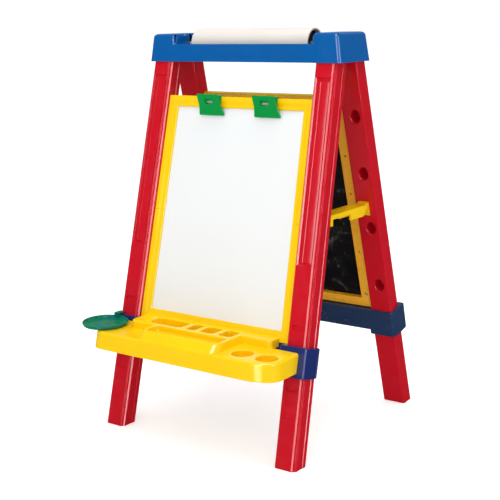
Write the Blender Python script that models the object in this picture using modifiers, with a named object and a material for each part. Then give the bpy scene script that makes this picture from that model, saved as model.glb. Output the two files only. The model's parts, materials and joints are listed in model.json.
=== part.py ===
"""Double-sided children's art easel in moulded plastic, built as an assembly of separate pieces.

Metres, +Z up, the front (whiteboard side) faces -Y and +X is on the viewer's right.
Two leaning frames hang from a top cap. The front frame is fixed in the cap, and the rear frame
swings on two pins inside it. Each frame is drawn in its own tilted axes: X across, Y the depth
behind the legs' outer face, and Z the distance up the leg from the floor.
"""
import math

import bmesh
import bpy
from mathutils import Matrix, Vector

# ---------------------------------------------------------------- driving dimensions (metres)
GAP = 0.0004                     # clearance between pieces that touch
WALL = 0.003                     # moulded wall thickness

FOOT_Y = 0.3094                  # legs' outer face on the floor, from the centre of the easel
HINGE_Y = 0.0397                 # rear frame's pivot, behind the centre
HINGE_Z = 1.000
LEG_WIDTH = 0.062
LEG_DEPTH = 0.048
LEG_FOOT_X = 0.3108              # legs' outer side on the floor
LEAN = math.radians(13.77)       # lean of each frame from the vertical
SPLAY = math.radians(1.19)       # sideways splay of each leg

CAP_HALF_X = 0.305
CAP_HALF_Y = 0.0742
CAP_BOTTOM = 0.9748
CAP_TOP = 1.0477
CAP_RAIL_TOP = 1.021             # low walls in front of and behind the paper roll
CAP_BAY_X = 0.215                # half-length of the bay that holds the roll
CAP_DRAFT = 0.0106
CAP_CORNER = 0.0106

ROLL_Z = 1.021
ROLL_HALF = 0.185
ROLL_RADIUS = 0.038
CORE_RADIUS = 0.0350
CORE_WALL = 0.0015
SPINDLE_RADIUS = 0.005

COLLAR_LOW = 0.230               # distances up the leg
COLLAR_HIGH = 0.306
COLLAR_FRONT = 0.0165            # how far a collar stands out in front of its leg
COLLAR_SIDE = 0.008
COLLAR_BACK = 0.0065
BAR_LOW = 0.2445
BAR_FRONT = 0.0125

BOARD_LOW = COLLAR_HIGH + GAP    # board frame, up the leg
BOARD_HIGH = 0.915
BOARD_SEAM = 0.604
BOARD_FACE = 0.012               # depth of the frame's face behind the legs' face
BOARD_BACK = 0.0258
RING_BACK = 0.040
PANEL_FACE = 0.020
PANEL_THICK = 0.0032
OPENING_LOW = 0.334
OPENING_HIGH = 0.886
RAIL_WIDTH = 0.029

TRAY_HALF_X = 0.292
TRAY_FRONT_Y = -0.378
TRAY_BOTTOM = 0.240
TRAY_TOP = 0.288
TRAY_CORNER = 0.045
BLOCK_TOP = 0.308                # raised middle of the tray, which holds the groove and wells
BLOCK_LEFT = -0.130
BLOCK_RIGHT = 0.122
BLOCK_FRONT_Y = -0.357           # its front wall slopes from here to the tray's front face
CUP_RADIUS = 0.028

PALETTE_CENTRE = (-0.286, -0.3186)
PALETTE_RADIUS = 0.062
PALETTE_LOW = 0.2886
PALETTE_RIM = 0.2986
PALETTE_PEG = (-0.296, -0.2445)

CLIP_X = (-0.083, 0.095)
CLIP_PIVOT = (0.004, 0.898)      # depth and distance up the leg
CLIP_TILT = math.radians(34)

BRACE_X = (0.242, 0.284)
BRACE_TOP = 0.600
BRACE_PIVOT_Y = 0.0861
BRACE_PIVOT_Z = 0.596
BRACE_TIP_Y = -0.092
BRACE_THICK = 0.0115
BRACE_DEEP = 0.026

ORIGIN_SHIFT = (0.0176, 0.0343, 0.0)     # puts the origin under the middle of the whole easel

parts = None
cutters = None


# ---------------------------------------------------------------- collections and materials
def start_scene():
    global parts, cutters
    for old in list(bpy.data.objects):
        bpy.data.objects.remove(old, do_unlink=True)
    parts = bpy.data.collections.new("art_easel")
    cutters = bpy.data.collections.new("art_easel_cutters")
    bpy.context.scene.collection.children.link(parts)
    bpy.context.scene.collection.children.link(cutters)


def plastic(name, colour, roughness=0.35, metallic=0.0):
    material = bpy.data.materials.new(name)
    material.use_nodes = True
    shader = material.node_tree.nodes["Principled BSDF"]
    shader.inputs["Base Color"].default_value = (*colour, 1.0)
    shader.inputs["Roughness"].default_value = roughness
    shader.inputs["Metallic"].default_value = metallic
    return material


def axes(name, location, rotation=(0.0, 0.0, 0.0), parent=None):
    empty = bpy.data.objects.new(name, None)
    empty.location = location
    empty.rotation_euler = rotation
    empty.parent = parent
    parts.objects.link(empty)
    return empty


# ---------------------------------------------------------------- shape tools
def place(name, mesh, parent, material=None, location=(0, 0, 0), rotation=(0, 0, 0)):
    """Puts a mesh in the parts, or in the cutters when it has no material."""
    body = bpy.data.objects.new(name, mesh)
    body.location = location
    body.rotation_euler = rotation
    body.parent = parent
    if material is None:
        cutters.objects.link(body)
        body.hide_render = True
        body.display_type = "WIRE"
    else:
        parts.objects.link(body)
        mesh.materials.append(material)
    return body


def to_mesh(bm, name, smooth=False):
    bmesh.ops.recalc_face_normals(bm, faces=bm.faces)
    mesh = bpy.data.meshes.new(name)
    bm.to_mesh(mesh)
    bm.free()
    if smooth:
        mesh.shade_smooth()
        mesh.set_sharp_from_angle(angle=math.radians(35))
    return mesh


def box(name, low, high, parent, material=None, taper=(0.0, 0.0), round_z=0.0):
    """A box between two corners; taper pulls its top in, round_z rounds its upright edges."""
    size = [b - a for a, b in zip(low, high)]
    centre = [(a + b) / 2 for a, b in zip(low, high)]
    bm = bmesh.new()
    bmesh.ops.create_cube(bm, size=1.0, matrix=Matrix.Translation(centre) @ Matrix.Diagonal((*size, 1.0)))
    for vertex in bm.verts:
        if vertex.co.z > centre[2]:
            vertex.co.x -= math.copysign(taper[0], vertex.co.x - centre[0])
            vertex.co.y -= math.copysign(taper[1], vertex.co.y - centre[1])
    if round_z:
        upright = [e for e in bm.edges if abs(e.verts[0].co.z - e.verts[1].co.z) > size[2] / 2]
        bmesh.ops.bevel(bm, geom=upright, offset=round_z, segments=4, affect="EDGES", profile=0.5)
    return place(name, to_mesh(bm, name), parent, material)


def rod(name, radius, start, end, parent, material=None, sides=20, tip_radius=None):
    """A cylinder, or a cone with tip_radius, from one point to another."""
    start = Vector(start)
    end = Vector(end)
    turn = (end - start).to_track_quat("Z", "Y").to_matrix().to_4x4()
    bm = bmesh.new()
    bmesh.ops.create_cone(
        bm, cap_ends=True, segments=sides, radius1=radius,
        radius2=radius if tip_radius is None else tip_radius,
        depth=(end - start).length, matrix=Matrix.Translation((start + end) / 2) @ turn)
    return place(name, to_mesh(bm, name, smooth=True), parent, material)


def outline(name, points, low, high, parent, material=None, upright=False, location=(0, 0, 0)):
    """A flat outline extruded from low to high along Z, or along Y when it stands upright."""
    curve = bpy.data.curves.new(name, "CURVE")
    curve.dimensions = "2D"
    curve.fill_mode = "BOTH"
    curve.extrude = (high - low) / 2
    spline = curve.splines.new("POLY")
    spline.points.add(len(points) - 1)
    for point, (x, y) in zip(spline.points, points):
        point.co = (x, y, 0.0, 1.0)
    spline.use_cyclic_u = True
    drawn = bpy.data.objects.new(name + "_curve", curve)
    cutters.objects.link(drawn)
    bpy.context.view_layer.update()
    mesh = bpy.data.meshes.new_from_object(drawn.evaluated_get(bpy.context.evaluated_depsgraph_get()))
    bpy.data.objects.remove(drawn, do_unlink=True)
    bm = bmesh.new()
    bm.from_mesh(mesh)
    bpy.data.meshes.remove(mesh)
    bmesh.ops.remove_doubles(bm, verts=bm.verts, dist=0.00001)
    middle = (low + high) / 2
    if upright:
        move = Matrix.Translation((0, middle, 0)) @ Matrix.Rotation(math.pi / 2, 4, "X")
    else:
        move = Matrix.Translation((0, 0, middle))
    bmesh.ops.transform(bm, matrix=move, verts=bm.verts)
    return place(name, to_mesh(bm, name), parent, material, location)


def turned(name, profile, parent, material, location, steps=32):
    """A turned shape: the profile (radius, height) starts and ends on the axis."""
    bm = bmesh.new()
    points = [bm.verts.new((radius, 0.0, height)) for radius, height in profile]
    for first, second in zip(points, points[1:]):
        bm.edges.new((first, second))
    mesh = bpy.data.meshes.new(name)
    bm.to_mesh(mesh)
    bm.free()
    body = place(name, mesh, parent, material, location)
    screw = body.modifiers.new("turn", "SCREW")
    screw.steps = steps
    screw.render_steps = steps
    screw.use_merge_vertices = True
    screw.merge_threshold = 0.00001
    screw.use_smooth_shade = True
    return body


def combine(target, tool, operation):
    step = target.modifiers.new(operation.lower(), "BOOLEAN")
    step.operation = operation
    step.solver = "EXACT"
    step.object = tool


def cut(target, *tools):
    for tool in tools:
        combine(target, tool, "DIFFERENCE")


def join(target, *tools):
    for tool in tools:
        combine(target, tool, "UNION")


def arc(cx, cy, radius, start, end, steps):
    """Points on an arc, angles in degrees."""
    angles = [math.radians(start + (end - start) * i / steps) for i in range(steps + 1)]
    return [(cx + radius * math.cos(a), cy + radius * math.sin(a)) for a in angles]


def rounded_rectangle(x0, x1, y0, y1, radius, steps=4):
    return (arc(x1 - radius, y1 - radius, radius, 0, 90, steps)
            + arc(x0 + radius, y1 - radius, radius, 90, 180, steps)
            + arc(x0 + radius, y0 + radius, radius, 180, 270, steps)
            + arc(x1 - radius, y0 + radius, radius, 270, 360, steps))


# ---------------------------------------------------------------- legs
def leg_outer_x(up):
    """Outer side of a leg at a distance up the leg."""
    return LEG_FOOT_X - up * math.tan(SPLAY)


def leg_section(margin=0.0):
    """Cross-section of a right leg, X measured inwards from its outer side: chamfered outer
    edges, and a shallow step along the outer side near the back."""
    m = margin
    return [(m, 0.005 - m), (m, 0.036), (m - 0.002, 0.0375), (m - 0.002, LEG_DEPTH - 0.002 + m),
            (m - 0.004, LEG_DEPTH + m), (-LEG_WIDTH + 0.003 - m, LEG_DEPTH + m),
            (-LEG_WIDTH - m, LEG_DEPTH - 0.003 + m), (-LEG_WIDTH - m, 0.005 - m),
            (-LEG_WIDTH + 0.005, -m), (-0.005, -m)]


def hinge_up():
    """Distance up the leg of the pin at its top."""
    return (HINGE_Z + LEG_DEPTH / 2 * math.sin(LEAN)) / math.cos(LEAN)


def leg(name, side, frame, material, floor):
    """One hollow leg, open at the foot, with a rounded top round its pin."""
    base = axes(name + "_axes", (side * LEG_FOOT_X, 0, 0), (0, -side * SPLAY, 0), frame)
    top = hinge_up()
    section = [(side * x, y) for x, y in leg_section()]
    body = outline(name, section, -0.03, top, base, material)
    head = rod(name + "_head", 0.0232, (0, LEG_DEPTH / 2, top), (-side * LEG_WIDTH, LEG_DEPTH / 2, top),
               base, sides=24)
    join(body, head)
    inner = (-side * WALL, -side * (LEG_WIDTH - WALL))
    hollow = box(name + "_hollow", (min(inner), WALL + 0.002, -0.05),
                 (max(inner), LEG_DEPTH - WALL, top - 0.045), base)
    recess_x = (-side * 0.007, -side * (LEG_WIDTH - 0.007))
    recess = box(name + "_recess", (min(recess_x), -0.01, 0.504), (max(recess_x), 0.0022, 0.966), base)
    pin_hole = rod(name + "_pin_hole", 0.004 + GAP, (side * 0.2, LEG_DEPTH / 2, top),
                   (side * 0.32, LEG_DEPTH / 2, top), frame)
    cut(body, hollow, recess, pin_hole, floor)
    for number, up in enumerate((0.3856, 0.556, 0.7126, 0.8696)):
        hole = rod(f"{name}_hole_{number}", 0.0098, (-side * LEG_WIDTH / 2, LEG_DEPTH - 0.008, up),
                   (-side * LEG_WIDTH / 2, LEG_DEPTH + 0.01, up), base, sides=16)
        cut(body, hole)
    return body


# ---------------------------------------------------------------- crossbar with its two collars
def crossbar(name, frame, material):
    """A channel between the legs with a collar round each leg."""
    inner_x = leg_outer_x(COLLAR_LOW) - LEG_WIDTH
    body = box(name, (-inner_x - 0.004, BAR_FRONT + 0.002, BAR_LOW),
               (inner_x + 0.004, LEG_DEPTH + COLLAR_BACK, COLLAR_HIGH), frame, material)
    channel = box(name + "_channel", (-inner_x + 0.012, BAR_FRONT + 0.002 + WALL, BAR_LOW - 0.01),
                  (inner_x - 0.012, LEG_DEPTH + COLLAR_BACK - WALL, COLLAR_HIGH - WALL), frame)
    for side, word in ((1, "right"), (-1, "left")):
        xs = sorted((side * (inner_x - COLLAR_SIDE), side * (leg_outer_x(COLLAR_LOW) + COLLAR_SIDE)))
        collar = box(f"{name}_collar_{word}", (xs[0], -COLLAR_FRONT, COLLAR_LOW),
                     (xs[1], LEG_DEPTH + COLLAR_BACK, COLLAR_HIGH), frame, round_z=0.006)
        join(body, collar)
    cut(body, channel)
    for side, word in ((1, "right"), (-1, "left")):
        base = axes(f"{name}_{word}_axes", (side * LEG_FOOT_X, 0, 0), (0, -side * SPLAY, 0), frame)
        section = [(side * x, y) for x, y in leg_section(GAP)]
        socket = outline(f"{name}_socket_{word}", section, COLLAR_LOW - 0.05, COLLAR_HIGH + 0.05, base)
        cut(body, socket)
    return body


# ---------------------------------------------------------------- boards
def board_half_width(up):
    """Half-width of a board frame, which fills the gap between the splayed legs."""
    return leg_outer_x(up) - LEG_WIDTH - GAP


def trapezium(low, high, inset):
    wide = board_half_width(low) - inset
    narrow = board_half_width(high) - inset
    return [(-wide, low), (wide, low), (narrow, high), (-narrow, high)]


def board(name, frame, frame_material, panel_material, screw_material, facing=1):
    """A panel in a two-piece frame, closed at the back by a screwed ring; facing is 1 for the
    front of the easel and -1 for the rear."""
    opening = outline(name + "_opening", trapezium(OPENING_LOW, OPENING_HIGH, RAIL_WIDTH),
                      -0.01, 0.07, frame, upright=True)
    panel_edge = 0.009
    rabbet = outline(name + "_rabbet",
                     trapezium(OPENING_LOW - panel_edge, OPENING_HIGH + panel_edge, RAIL_WIDTH - panel_edge),
                     PANEL_FACE - GAP, RING_BACK - 0.012, frame, upright=True)
    halves = (("upper", BOARD_SEAM + GAP / 2, BOARD_HIGH), ("lower", BOARD_LOW, BOARD_SEAM - GAP / 2))
    shells = []
    for word, low, high in halves:
        shell = outline(f"{name}_frame_{word}", trapezium(low, high, 0.0), BOARD_FACE, BOARD_BACK,
                        frame, frame_material, upright=True)
        cut(shell, opening, rabbet)
        shells.append(shell)
    edge = panel_edge - GAP
    outline(name + "_panel", trapezium(OPENING_LOW - edge, OPENING_HIGH + edge, RAIL_WIDTH - edge),
            PANEL_FACE, PANEL_FACE + PANEL_THICK, frame, panel_material, upright=True)
    ring = outline(name + "_back_ring", trapezium(BOARD_LOW, BOARD_HIGH, 0.0), BOARD_BACK + GAP,
                   RING_BACK, frame, frame_material, upright=True)
    cut(ring, opening)
    screws = (("upper", 1, 0.870), ("upper", -1, 0.870), ("lower", 1, 0.345), ("lower", -1, 0.345))
    for word, side, up in screws:
        x = side * (board_half_width(up) - 0.010)
        label = f"{name}_screw_{word}_{'right' if side * facing > 0 else 'left'}"
        hole = rod(label + "_hole", 0.0021, (x, BOARD_BACK - 0.006, up), (x, 0.06, up), frame, sides=12)
        cut(ring, hole)
        cut(shells[0] if word == "upper" else shells[1], hole)
        screw = rod(label, 0.0017, (x, BOARD_BACK - 0.005, up), (x, RING_BACK + 0.001, up), frame,
                    screw_material, sides=12)
        head = rod(label + "_head", 0.0038, (x, RING_BACK + 0.0003, up), (x, RING_BACK + 0.0023, up),
                   frame, sides=16, tip_radius=0.0028)
        join(screw, head)
    return shells[0]


# ---------------------------------------------------------------- top cap and paper roll
def top_cap(root, material):
    """The cap: two closed end blocks, open below for the legs, and a bay between them."""
    body = box("top_cap", (-CAP_HALF_X, -CAP_HALF_Y, CAP_BOTTOM), (CAP_HALF_X, CAP_HALF_Y, CAP_TOP),
               root, material, taper=(CAP_DRAFT, CAP_DRAFT / 2), round_z=CAP_CORNER)
    lower_rails = box("cap_rail_cut", (-CAP_BAY_X, -0.1, CAP_RAIL_TOP), (CAP_BAY_X, 0.1, 1.1), root)
    rail = 0.006
    bay = box("cap_bay_cut", (-CAP_BAY_X, -CAP_HALF_Y + rail, CAP_BOTTOM + WALL),
              (CAP_BAY_X, CAP_HALF_Y - rail, 1.1), root)
    cut(body, lower_rails, bay)
    for side, word in ((1, "right"), (-1, "left")):
        xs = sorted((side * (CAP_BAY_X + WALL), side * (CAP_HALF_X - WALL)))
        side_wall = WALL - GAP
        socket = box(f"cap_socket_{word}", (xs[0], -CAP_HALF_Y + side_wall, CAP_BOTTOM - 0.01),
                     (xs[1], CAP_HALF_Y - side_wall, CAP_TOP - WALL), root,
                     taper=(CAP_DRAFT, CAP_DRAFT / 2), round_z=CAP_CORNER - WALL)
        cut(body, socket)
        leg_out = leg_outer_x(hinge_up())
        for y, end in ((-HINGE_Y, "front"), (HINGE_Y, "rear")):
            outer = (side * (leg_out + 0.0008), side * (CAP_HALF_X - CAP_DRAFT / 2))
            inner = (side * (leg_out - LEG_WIDTH - 0.0008), side * (CAP_BAY_X + 0.001))
            for label, (x0, x1) in (("outer", outer), ("inner", inner)):
                boss = rod(f"cap_boss_{label}_{end}_{word}", 0.009, (x0, y, HINGE_Z), (x1, y, HINGE_Z), root)
                join(body, boss)
            bore = rod(f"cap_bore_{end}_{word}", 0.004 + GAP, (side * (CAP_BAY_X - 0.01), y, HINGE_Z),
                       (side * (CAP_HALF_X - 0.0085), y, HINGE_Z), root)
            cut(body, bore)
        half = SPINDLE_RADIUS + GAP
        xs = sorted((side * (CAP_BAY_X - 0.01), side * (CAP_BAY_X + WALL + 0.004)))
        slot = box(f"cap_spindle_slot_{word}", (xs[0], -half, ROLL_Z), (xs[1], half, 1.1), root)
        seat = rod(f"cap_spindle_seat_{word}", half, (xs[0], 0, ROLL_Z), (xs[1], 0, ROLL_Z), root)
        cut(body, slot, seat)
    return body


def leg_pins(root, rear_hinge, steel):
    """The four steel pins at the tops of the legs; the rear pair is the folding hinge."""
    for side, word in ((1, "right"), (-1, "left")):
        start = side * (CAP_BAY_X + 0.0005)
        end = side * (CAP_HALF_X - 0.009)
        rod(f"front_leg_pin_{word}", 0.004, (start, -HINGE_Y, HINGE_Z), (end, -HINGE_Y, HINGE_Z), root, steel)
        rod(f"rear_leg_pin_{word}", 0.004, (start, 0, 0), (end, 0, 0), rear_hinge, steel)


def paper_roll(root, paper, card, plastic_dark, steel):
    """The roll, its card core, two end plugs and the spindle, all on one axis."""
    axis = axes("roll_axis", (0, 0, ROLL_Z), (0, 0, 0), root)
    sides = 40
    roll = rod("paper_roll", ROLL_RADIUS, (-ROLL_HALF, 0, 0), (ROLL_HALF, 0, 0), axis, paper, sides)
    roll_bore = rod("paper_roll_bore", CORE_RADIUS + 0.0003, (-0.3, 0, 0), (0.3, 0, 0), axis, sides=sides)
    cut(roll, roll_bore)
    core = rod("roll_core", CORE_RADIUS, (-ROLL_HALF, 0, 0), (ROLL_HALF, 0, 0), axis, card, sides)
    core_bore = rod("roll_core_bore", CORE_RADIUS - CORE_WALL, (-0.3, 0, 0), (0.3, 0, 0), axis, sides=sides)
    cut(core, core_bore)
    reach = CAP_BAY_X + WALL + 0.002
    rod("roll_spindle", SPINDLE_RADIUS, (-reach, 0, 0), (reach, 0, 0), axis, steel)
    plug_bore = rod("roll_plug_bore", SPINDLE_RADIUS + 0.0003, (-0.3, 0, 0), (0.3, 0, 0), axis)
    for side, word in ((1, "right"), (-1, "left")):
        end = side * (ROLL_HALF - 0.012)
        plug = rod(f"roll_plug_{word}", CORE_RADIUS - CORE_WALL - 0.0006, (end, 0, 0),
                   (end - side * 0.010, 0, 0), axis, plastic_dark, sides)
        cut(plug, plug_bore)


# ---------------------------------------------------------------- paper clips
def clip(word, x, frame, green, steel):
    """A sprung clip on the whiteboard's top rail: base, lever, pin and torsion spring."""
    depth, up = CLIP_PIVOT
    pivot = axes(f"clip_pivot_{word}", (x, depth, up), (0, 0, 0), frame)
    sheet = 0.0026
    back = RING_BACK - depth + GAP
    face = BOARD_FACE - depth - GAP
    high = BOARD_HIGH - up + GAP
    hook = [(face - sheet, -0.011), (face, -0.011), (face, high), (back, high), (back, high - 0.016),
            (back + sheet, high - 0.016), (back + sheet, high + sheet), (face - sheet, high + sheet)]
    base = outline(f"clip_base_{word}", hook, -0.028, 0.028, pivot, green)
    turn = Matrix(((0, 0, 1, 0), (1, 0, 0, 0), (0, 1, 0, 0), (0, 0, 0, 1)))
    base.data.transform(turn)
    pin_hole = rod(f"clip_pin_hole_{word}", 0.0019, (-0.05, 0, 0), (0.05, 0, 0), pivot, sides=12)
    for side in (1, -1):
        xs = sorted((side * 0.0140, side * 0.0165))
        ear = box(f"clip_ear_{word}_{side}", (xs[0], -0.0035, -0.0045), (xs[1], face - 0.001, 0.0045), pivot)
        join(base, ear)
    cut(base, pin_hole)

    tilted = axes(f"clip_lever_axes_{word}", (0, -0.0085, 0), (CLIP_TILT, 0, 0), pivot)
    half_top, half_low, low, top = 0.035, 0.042, -0.0385, 0.0215
    shape = [(-half_low + 0.004, low), (half_low - 0.004, low), (half_low, low + 0.004),
             (half_low - 0.001, -0.022), (half_top + 0.001, -0.004), (half_top, top - 0.003),
             (half_top - 0.003, top), (-half_top + 0.003, top), (-half_top, top - 0.003),
             (-half_top - 0.001, -0.004), (-half_low + 0.001, -0.022), (-half_low, low + 0.004)]
    lever = outline(f"clip_lever_{word}", shape, -0.0014, 0.0014, tilted, green, upright=True)
    for side in (1, -1):
        xs = sorted((side * 0.0172, side * 0.0200))
        lug = box(f"clip_lug_{word}_{side}", (xs[0], -0.009, -0.0035), (xs[1], 0.0035, 0.0035), pivot)
        join(lever, lug)
    window = box(f"clip_window_{word}", (-0.0135, -0.01, -0.006), (0.0135, 0.01, 0.009), tilted)
    cut(lever, window, pin_hole)
    rod(f"clip_pin_{word}", 0.0016, (-0.0215, 0, 0), (0.0215, 0, 0), pivot, steel, sides=12)
    clip_spring(word, pivot, steel)


def clip_spring(word, pivot, steel):
    """A torsion spring: four turns round the clip's pin."""
    turns, per_turn, radius, length = 4, 10, 0.0034, 0.020
    curve = bpy.data.curves.new(f"clip_spring_{word}", "CURVE")
    curve.dimensions = "3D"
    curve.bevel_depth = 0.0007
    curve.bevel_resolution = 1
    curve.use_fill_caps = True
    spline = curve.splines.new("POLY")
    count = turns * per_turn
    spline.points.add(count)
    for number, point in enumerate(spline.points):
        angle = 2 * math.pi * number / per_turn
        x = -length / 2 + length * number / count
        point.co = (x, radius * math.cos(angle), radius * math.sin(angle), 1.0)
    drawn = bpy.data.objects.new("spring_curve", curve)
    cutters.objects.link(drawn)
    bpy.context.view_layer.update()
    mesh = bpy.data.meshes.new_from_object(drawn.evaluated_get(bpy.context.evaluated_depsgraph_get()))
    bpy.data.objects.remove(drawn, do_unlink=True)
    bm = bmesh.new()
    bm.from_mesh(mesh)
    bpy.data.meshes.remove(mesh)
    bmesh.ops.remove_doubles(bm, verts=bm.verts, dist=0.00001)
    place(f"clip_spring_{word}", to_mesh(bm, "clip_spring", smooth=True), pivot, steel)


# ---------------------------------------------------------------- side braces
def brace(word, side, root, rear_hinge, yellow, steel):
    """A strut between the front and rear leg, pinned to a bracket on the rear leg."""
    bracket_axes = axes(f"brace_bracket_axes_{word}", (0, -HINGE_Y, -HINGE_Z), (0, 0, 0), rear_hinge)
    pivot = axes(f"brace_pivot_{word}", (0, BRACE_PIVOT_Y, BRACE_PIVOT_Z), (0, 0, 0), bracket_axes)
    top = BRACE_TOP - BRACE_PIVOT_Z
    tip = BRACE_TIP_Y - BRACE_PIVOT_Y
    x0, x1 = sorted((side * BRACE_X[0], side * BRACE_X[1]))
    bar = box(f"brace_bar_{word}", (x0, tip, top - BRACE_THICK), (x1, -0.007, top), pivot, yellow)
    hook = box(f"brace_hook_{word}", (x0, tip, top - 0.028), (x1, tip + 0.012, top - 0.002), pivot)
    join(bar, hook)
    cheek_side = [(-0.068, top - BRACE_DEEP), (-0.006, top - BRACE_DEEP), (0.0045, -0.0035),
                  (0.0045, top - 0.0012), (0.0033, top), (-0.068, top)]
    turn = Matrix(((0, 0, 1, 0), (1, 0, 0, 0), (0, 1, 0, 0), (0, 0, 0, 1)))
    for x in (x0, x1 - 0.006):
        cheek = outline(f"brace_cheek_{word}_{x:.3f}", cheek_side, x, x + 0.006, pivot)
        cheek.data.transform(turn)
        join(bar, cheek)
    for number in range(9):
        y = tip + 0.022 + number * 0.0165
        hole = rod(f"brace_hole_{word}_{number}", 0.0028, (side * 0.274, y, -0.05),
                   (side * 0.274, y, 0.05), pivot, sides=10)
        cut(bar, hole)
    pin_hole = rod(f"brace_pin_hole_{word}", 0.0023, (x0 - 0.01, 0, 0), (x1 + 0.01, 0, 0), pivot, sides=16)
    cut(bar, pin_hole)

    inner0, inner1 = x0 + 0.0064, x1 - 0.0064
    leg_face = FOOT_Y - LEG_DEPTH / math.cos(LEAN)
    run = math.tan(LEAN)
    heights = (BRACE_TOP - 0.034, BRACE_TOP + 0.004)
    foot = [(leg_face - z * run - 0.0004 - BRACE_PIVOT_Y, z - BRACE_PIVOT_Z) for z in heights]
    block = [(-0.0033, -0.0033), (0.0, -0.0046), (0.004, -0.0036), (0.0125, -0.0045), foot[0], foot[1],
             (0.012, top), (-0.0033, top)]
    bracket = outline(f"brace_bracket_{word}", block, inner0, inner1, pivot, yellow)
    bracket.data.transform(turn)
    cut(bracket, pin_hole)
    rod(f"brace_pin_{word}", 0.0019, (x0 + 0.0003, 0, 0), (x1 - 0.0003, 0, 0), pivot, steel, sides=16)


# ---------------------------------------------------------------- paint tray and palette
def paint_tray(root, front, yellow, steel):
    """A thin-walled tray on the front crossbar, open below, with a groove, wells and paint cups."""
    back = -0.200
    base = rounded_rectangle(-TRAY_HALF_X, TRAY_HALF_X, TRAY_FRONT_Y, back, TRAY_CORNER)
    body = outline("paint_tray", base, TRAY_BOTTOM, TRAY_TOP, root, yellow)
    raised = (("block", BLOCK_LEFT, BLOCK_RIGHT, BLOCK_FRONT_Y, 0.024),
              ("block_end", -0.215, BLOCK_LEFT + 0.030, -0.300, 0.018),
              ("wall", BLOCK_RIGHT - 0.030, 0.2135, -0.262, 0.010))
    hollows = [outline("tray_hollow", rounded_rectangle(
        -TRAY_HALF_X + WALL, TRAY_HALF_X - WALL, TRAY_FRONT_Y + WALL, back + 0.02, TRAY_CORNER - WALL),
        TRAY_BOTTOM - 0.01, TRAY_TOP - WALL, root)]
    for word, x0, x1, y0, corner in raised:
        shape = rounded_rectangle(x0, x1, y0, back, corner)
        join(body, outline(f"tray_{word}", shape, TRAY_TOP - 0.02, BLOCK_TOP, root))
        inset = rounded_rectangle(x0 + WALL, x1 - WALL, y0 + WALL, back + 0.02, corner - WALL)
        hollows.append(outline(f"tray_{word}_hollow", inset, TRAY_BOTTOM - 0.01, BLOCK_TOP - WALL, root))
    slope_side = [(TRAY_FRONT_Y + 0.0004, 0.270), (BLOCK_FRONT_Y + 0.001, 0.270),
                  (BLOCK_FRONT_Y + 0.001, BLOCK_TOP - 0.0004), (TRAY_FRONT_Y + 0.0004, TRAY_TOP - 0.001)]
    slope = outline("tray_slope", slope_side, BLOCK_LEFT + 0.022, BLOCK_RIGHT - 0.022, root)
    slope.data.transform(Matrix(((0, 0, 1, 0), (1, 0, 0, 0), (0, 1, 0, 0), (0, 0, 0, 1))))
    join(body, slope)
    cut(body, *hollows)

    wells = []
    boxes = (("groove", -0.118, 0.110, -0.350, -0.303, 0.293),
             ("long_well", -0.160, -0.052, -0.288, -0.241, 0.269),
             ("small_well", -0.036, -0.006, -0.288, -0.241, 0.269),
             ("middle_well", 0.008, 0.052, -0.288, -0.241, 0.269),
             ("end_well", 0.068, 0.108, -0.288, -0.241, 0.269))
    for word, x0, x1, y0, y1, floor in boxes:
        shell = rounded_rectangle(x0 - WALL, x1 + WALL, y0 - WALL, y1 + WALL, 0.012)
        join(body, outline(f"tray_{word}_shell", shell, floor - WALL, BLOCK_TOP - 0.001, root))
        wells.append(outline(f"tray_{word}", rounded_rectangle(x0, x1, y0, y1, 0.009), floor, 0.35, root))
    for word, x, y in (("one", 0.1748, -0.3274), ("two", 0.2475, -0.3280)):
        shell = rod(f"tray_cup_shell_{word}", CUP_RADIUS + WALL, (x, y, 0.254), (x, y, TRAY_TOP - 0.001),
                    root, sides=28)
        join(body, shell)
        wells.append(rod(f"tray_cup_{word}", CUP_RADIUS, (x, y, 0.257), (x, y, 0.35), root, sides=28))
    cut(body, *wells)

    leg_side = 0.2142
    for side, word in ((1, "right"), (-1, "left")):
        xs = sorted((side * leg_side, side * 0.4))
        behind = box(f"tray_back_cut_{word}", (xs[0], -COLLAR_FRONT - GAP, -0.1), (xs[1], 0.3, 0.6), front)
        cut(body, behind)
    cut(body, box("tray_back_cut", (-0.5, BOARD_FACE - GAP, -0.1), (0.5, 0.3, 0.6), front))


def palette(root, green, crossbar_body):
    """A round mixing dish whose peg drops into a hole in the left collar."""
    cx, cy = PALETTE_CENTRE
    depth = PALETTE_RIM - PALETTE_LOW
    profile = [(0.0, 0.0022), (0.052, 0.0022), (0.0585, 0.0055), (0.0598, depth), (PALETTE_RADIUS, depth),
               (PALETTE_RADIUS, depth - 0.0035), (0.0590, 0.0015), (0.0565, 0.0), (0.0, 0.0)]
    dish = turned("palette_dish", profile, root, green, (cx, cy, PALETTE_LOW), steps=40)
    px, py = PALETTE_PEG
    rim_y = cy + PALETTE_RADIUS
    arm = box("palette_arm", (px - 0.008, rim_y - 0.007, PALETTE_RIM - 0.004), (px + 0.008, rim_y + 0.0005, 0.3062),
              root)
    tongue_shape = arc(px, py, 0.008, 0, 180, 8) + [(px - 0.008, rim_y - 0.005), (px + 0.008, rim_y - 0.005)]
    tongue = outline("palette_tongue", tongue_shape, 0.3032, 0.3062, root)
    peg = rod("palette_peg", 0.0032, (px, py, 0.292), (px, py, 0.304), root, sides=16)
    join(dish, arm, tongue, peg)
    hole = rod("palette_peg_hole", 0.0037, (px, py, 0.288), (px, py, 0.33), root, sides=16)
    cut(crossbar_body, hole)


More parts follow.
